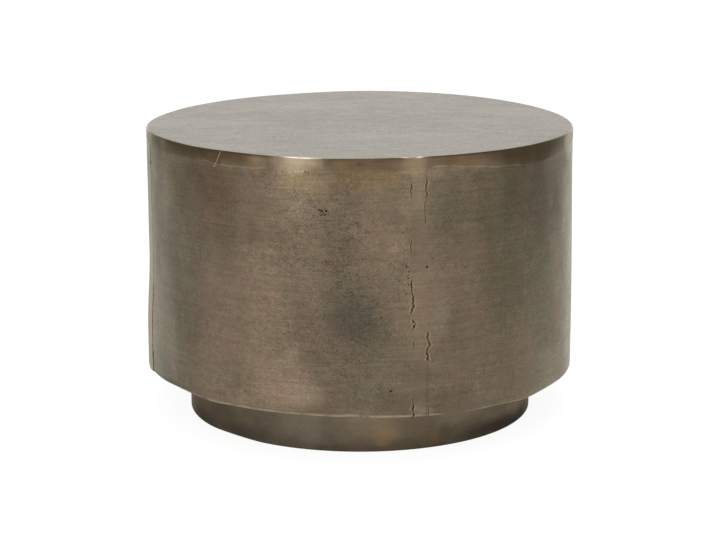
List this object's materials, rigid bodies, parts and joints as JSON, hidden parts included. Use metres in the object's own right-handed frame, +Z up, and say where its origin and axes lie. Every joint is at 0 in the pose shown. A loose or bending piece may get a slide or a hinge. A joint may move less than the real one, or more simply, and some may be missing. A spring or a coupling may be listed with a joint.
{
  "type": "round coffee table",
  "caption": "Round drum coffee table in cast metal plate with a bronze patina, upright welded seams, a flat brushed top and a recessed plinth on floor glides.",
  "frame": {"origin": "on the floor, under the centre of the round top", "axes": "+Z up, -Y towards the front of the picture, +X to its right"},
  "size_m": [0.5, 0.5, 0.336],
  "materials": {
    "top": "ground and brushed, thin warm bronze wash",
    "wall": "sand-cast skin, pitted, antique bronze patina",
    "seam": "ground weld, smoother, antique bronze patina",
    "plinth": "smooth rolled strip, darker bronze patina",
    "inside": "raw cast plate",
    "weld": "raw weld bead",
    "glide": "dark nylon",
    "fastener": "zinc plated"
  },
  "bodies": {
    "root": {"top_cap": "top", "rim_weld": "seam", "wall_panel_1": "wall", "wall_panel_2": "wall", "wall_panel_3": "wall", "wall_panel_4": "wall", "seam_strip_1": "seam", "seam_strip_2": "seam", "seam_strip_3": "seam", "seam_strip_4": "seam", "drum_floor": "inside", "drum_floor_welds": "weld", "plinth_ring": "plinth", "plinth_seam": "plinth", "plinth_welds": "weld", "foot_lug_1": "inside", "foot_lug_2": "inside", "foot_lug_3": "inside", "foot_lug_4": "inside", "lug_welds": "weld", "glide_1": "glide", "glide_2": "glide", "glide_3": "glide", "glide_4": "glide", "glide_screws": "fastener", "glide_nuts": "fastener"}
  },
  "joints": []
}
